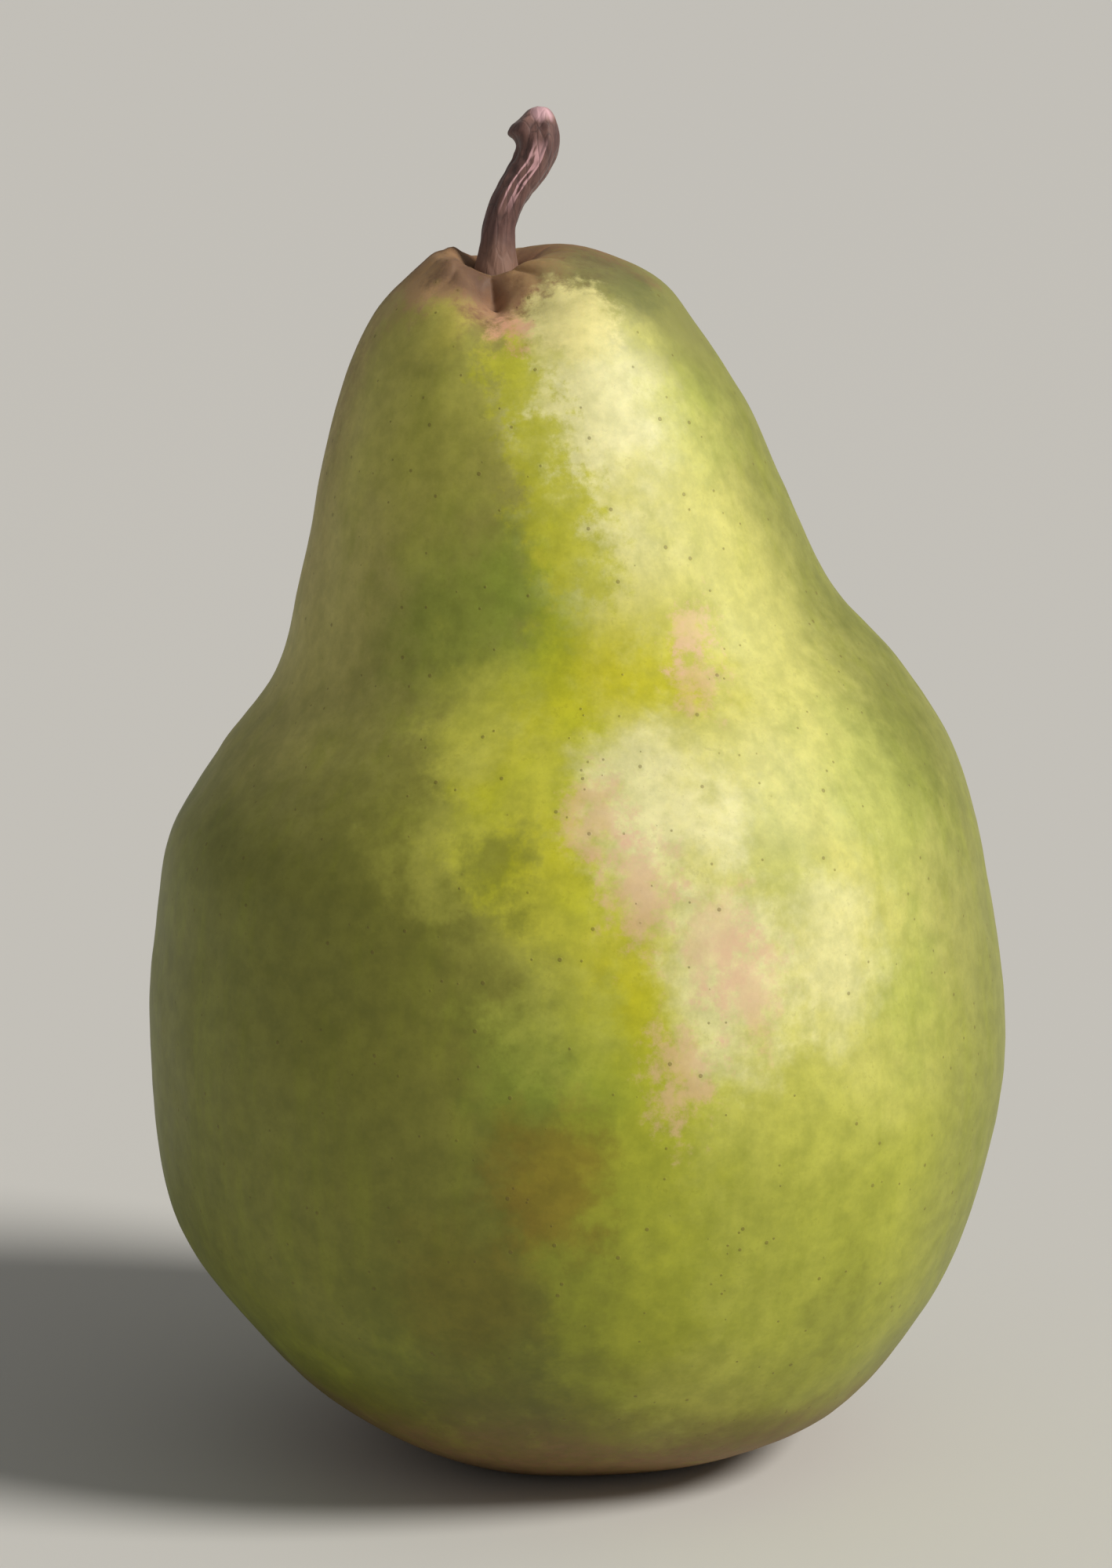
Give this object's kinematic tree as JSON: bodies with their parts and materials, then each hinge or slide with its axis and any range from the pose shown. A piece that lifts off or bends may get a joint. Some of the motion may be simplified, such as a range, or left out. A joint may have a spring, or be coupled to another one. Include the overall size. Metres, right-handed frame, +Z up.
{
  "type": "pear",
  "caption": "Ripe pear standing upright, with a leaning neck, a short curved woody stalk in a cleft at the top and a dried calyx in the basin underneath.",
  "frame": {"origin": "on the table, under the middle of the whole pear's box", "axes": "+Z up from the foot to the stalk's end, +X to the right seen from the front, so the neck leans towards -X and the cleft at the stalk opens towards -Y, the front"},
  "size_m": [0.0724, 0.0716, 0.1137],
  "materials": {
    "skin": "yellow-green pear skin, finely dotted, with a soft waxy sheen and russet at the stalk and round the calyx",
    "stalk_bark": "dull mauve-brown bark with fine ridges",
    "dry_calyx": "dull dry brown, papery"
  },
  "bodies": {
    "root": {"fruit": "skin", "stem": "stalk_bark", "calyx": "dry_calyx"}
  },
  "joints": []
}
